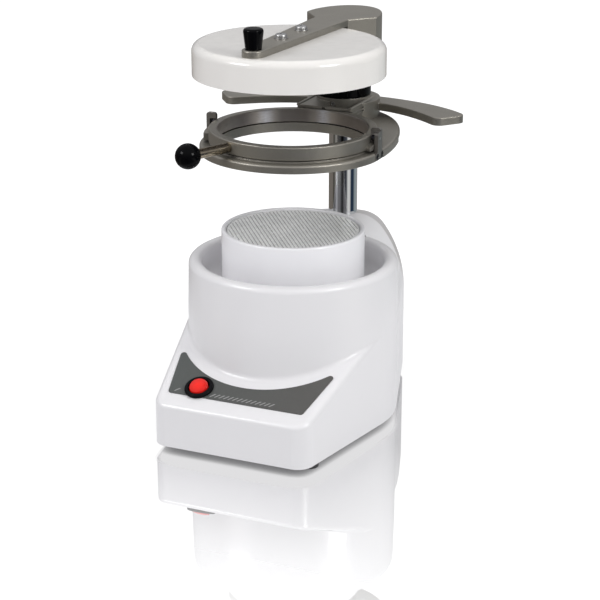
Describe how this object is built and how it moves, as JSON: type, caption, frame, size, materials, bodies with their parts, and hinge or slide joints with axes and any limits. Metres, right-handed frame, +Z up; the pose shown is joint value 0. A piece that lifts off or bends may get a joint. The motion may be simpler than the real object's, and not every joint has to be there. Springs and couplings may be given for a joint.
{
  "type": "dental vacuum former",
  "caption": "Table-top vacuum former: cup in a round housing, foil carriage and clamp ring sliding on a chrome column, heater dome swinging above, switch on a sloping deck.",
  "frame": {"origin": "centre of the footprint, on the table plane under the rubber feet", "axes": "+Z up; -Y is the front with the switch panel; +Y is the column side; +X is the operator's right when facing the panel"},
  "size_m": [0.2178, 0.2676, 0.3327],
  "materials": {
    "housing_plastic": "moulded, glossy cool white",
    "cup_plastic": "glossy white",
    "sheet_steel": "zinc plated sheet",
    "screw_steel": "plated",
    "foot_rubber": "matt black",
    "plate_metal": "pale satin, finely perforated",
    "panel_film": "dark grey film with a row of fine white dashes",
    "black_plastic": "satin to gloss black",
    "rocker_red": "translucent red",
    "chrome_steel": "polished chrome",
    "cast_grey": "taupe-grey metallic paint on a casting",
    "dome_enamel": "warm white enamel",
    "bronze": "sintered bronze",
    "nylon": "natural nylon",
    "fibre_board": "pressed fibre board",
    "bright_tray": "bright rolled",
    "element_steel": "heat-darkened steel sheath",
    "board_green": "circuit board laminate",
    "component_body": "moulded component bodies",
    "core_iron": "dark iron"
  },
  "bodies": {
    "base": {"housing_shell": "housing_plastic", "bottom_plate": "sheet_steel", "bottom_plate_screws": "screw_steel", "rubber_feet": "foot_rubber", "feet_screws": "screw_steel", "forming_cup": "cup_plastic", "cup_gasket": "foot_rubber", "cup_screws": "screw_steel", "perforated_plate": "plate_metal", "control_panel": "panel_film", "switch_bezel": "black_plastic", "switch_body": "black_plastic", "rocker_pin": "screw_steel", "power_inlet": "black_plastic", "inlet_screws": "screw_steel", "fuse_holder": "black_plastic", "control_board": "board_green", "board_standoffs": "nylon", "board_parts": "component_body", "pump_fan_casing": "sheet_steel", "pump_motor_can": "sheet_steel", "pump_stator": "core_iron", "pump_bearings": "screw_steel", "pump_gasket": "foot_rubber", "pump_posts": "sheet_steel", "pump_screws": "screw_steel", "column_flange": "core_iron", "flange_screws": "screw_steel", "column_tube": "chrome_steel", "column_collar": "black_plastic", "thrust_washer": "nylon"},
    "carriage": {"foil_frame": "cast_grey", "carriage": "cast_grey", "carriage_bush": "bronze", "saddle_screws": "screw_steel", "friction_pad": "nylon", "friction_screw": "screw_steel", "bracket_right": "screw_steel", "bracket_left": "screw_steel", "roller_pins": "screw_steel", "bracket_screws": "screw_steel"},
    "clamp_ring": {"clamp_ring": "cast_grey", "handle_rod": "chrome_steel", "handle_ball": "black_plastic"},
    "roller_right": {"roller_right": "screw_steel"},
    "roller_left": {"roller_left": "screw_steel"},
    "heater_head": {"heater_arm": "cast_grey", "hub_bush": "bronze", "heater_dome": "dome_enamel", "dome_washers": "screw_steel", "dome_screws": "screw_steel", "arm_knob": "black_plastic", "knob_stud": "screw_steel", "heater_insulation": "fibre_board", "heater_reflector": "bright_tray", "heater_element": "element_steel", "element_clips": "bright_tray"},
    "rocker": {"switch_rocker": "rocker_red"},
    "pump_rotor": {"pump_rotor": "core_iron", "pump_impeller": "bright_tray"}
  },
  "joints": [
    {"name": "carriage_slide", "type": "slide", "parent": "base", "child": "carriage", "axis": [0, 0, 1], "range_m": [-0.0815, 0]},
    {"name": "clamp_ring_turn", "type": "hinge", "parent": "carriage", "child": "clamp_ring", "pos_m": [0, -0.00881, 0.2325], "axis": [0, 0, 1], "range_deg": [0, 26]},
    {"name": "roller_right_spin", "type": "hinge", "parent": "carriage", "child": "roller_right", "pos_m": [0.06965, -0.00881, 0.2413], "axis": [1, 0, 0], "continuous": true},
    {"name": "roller_left_spin", "type": "hinge", "parent": "carriage", "child": "roller_left", "pos_m": [-0.06965, -0.00881, 0.2413], "axis": [1, 0, 0], "continuous": true},
    {"name": "heater_swing", "type": "hinge", "parent": "base", "child": "heater_head", "pos_m": [0, 0.09519, 0.2865], "axis": [0, 0, 1], "range_deg": [0, 110]},
    {"name": "power_switch", "type": "hinge", "parent": "base", "child": "rocker", "pos_m": [-0.0345, -0.11195, 0.05125], "axis": [1, 0, 0], "range_deg": [-16, 0]},
    {"name": "pump_rotor_spin", "type": "hinge", "parent": "base", "child": "pump_rotor", "pos_m": [0, -0.00881, 0.0625], "axis": [0, 0, 1], "continuous": true}
  ]
}
